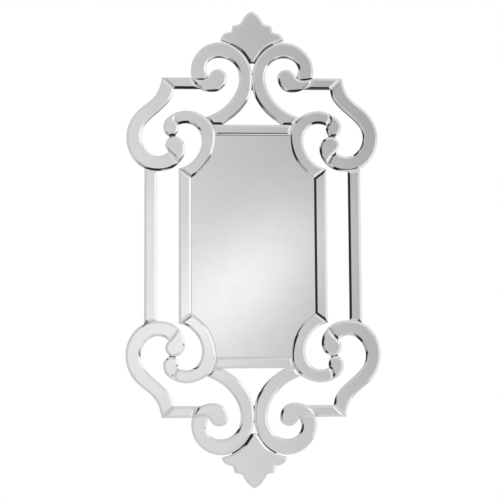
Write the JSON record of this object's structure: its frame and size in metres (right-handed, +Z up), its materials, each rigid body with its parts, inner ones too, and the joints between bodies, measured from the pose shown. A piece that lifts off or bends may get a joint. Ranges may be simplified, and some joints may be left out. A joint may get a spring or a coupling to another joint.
{
  "type": "wall mirror",
  "caption": "Openwork wall mirror in the Venetian style: bevelled mirror glass scrolls, volutes and finials framing a tall glass with concave corners, bonded to a cut-out board.",
  "frame": {"origin": "centre of the flat back of the backing board, on the wall plane; this is the mount wall_face", "axes": "+Z up the tall way of the mirror, +Y into the wall, so the glass faces -Y, +X to the right for someone who looks at the glass"},
  "size_m": [0.645, 0.0203, 1.2192],
  "materials": {
    "mirror_glass": "polished silvered glass with ground and polished edges",
    "black_board": "fibreboard painted satin black",
    "zinc_steel": "zinc plated"
  },
  "bodies": {
    "root": {"backing_board": "black_board", "main_mirror": "mirror_glass", "bar_top": "mirror_glass", "bar_bottom": "mirror_glass", "inner_strip_left": "mirror_glass", "inner_strip_right": "mirror_glass", "outer_strip_left": "mirror_glass", "outer_strip_right": "mirror_glass", "finial_top": "mirror_glass", "finial_bottom": "mirror_glass", "volute_top_left": "mirror_glass", "volute_top_right": "mirror_glass", "volute_bottom_left": "mirror_glass", "volute_bottom_right": "mirror_glass", "volute_comma_top_left": "mirror_glass", "volute_comma_top_right": "mirror_glass", "volute_comma_bottom_left": "mirror_glass", "volute_comma_bottom_right": "mirror_glass", "inner_scroll_top_left": "mirror_glass", "inner_scroll_top_right": "mirror_glass", "inner_scroll_bottom_left": "mirror_glass", "inner_scroll_bottom_right": "mirror_glass", "inner_scroll_head_top_left": "mirror_glass", "inner_scroll_head_top_right": "mirror_glass", "inner_scroll_head_bottom_left": "mirror_glass", "inner_scroll_head_bottom_right": "mirror_glass", "outer_scroll_top_left": "mirror_glass", "outer_scroll_top_right": "mirror_glass", "outer_scroll_bottom_left": "mirror_glass", "outer_scroll_bottom_right": "mirror_glass", "outer_scroll_comma_top_left": "mirror_glass", "outer_scroll_comma_top_right": "mirror_glass", "outer_scroll_comma_bottom_left": "mirror_glass", "outer_scroll_comma_bottom_right": "mirror_glass", "short_bar_top_left": "mirror_glass", "short_bar_top_right": "mirror_glass", "short_bar_bottom_left": "mirror_glass", "short_bar_bottom_right": "mirror_glass", "hanger_plate_left": "zinc_steel", "hanger_plate_right": "zinc_steel", "hanger_screw_left_upper": "zinc_steel", "hanger_screw_left_lower": "zinc_steel", "hanger_screw_right_upper": "zinc_steel", "hanger_screw_right_lower": "zinc_steel"}
  },
  "joints": []
}
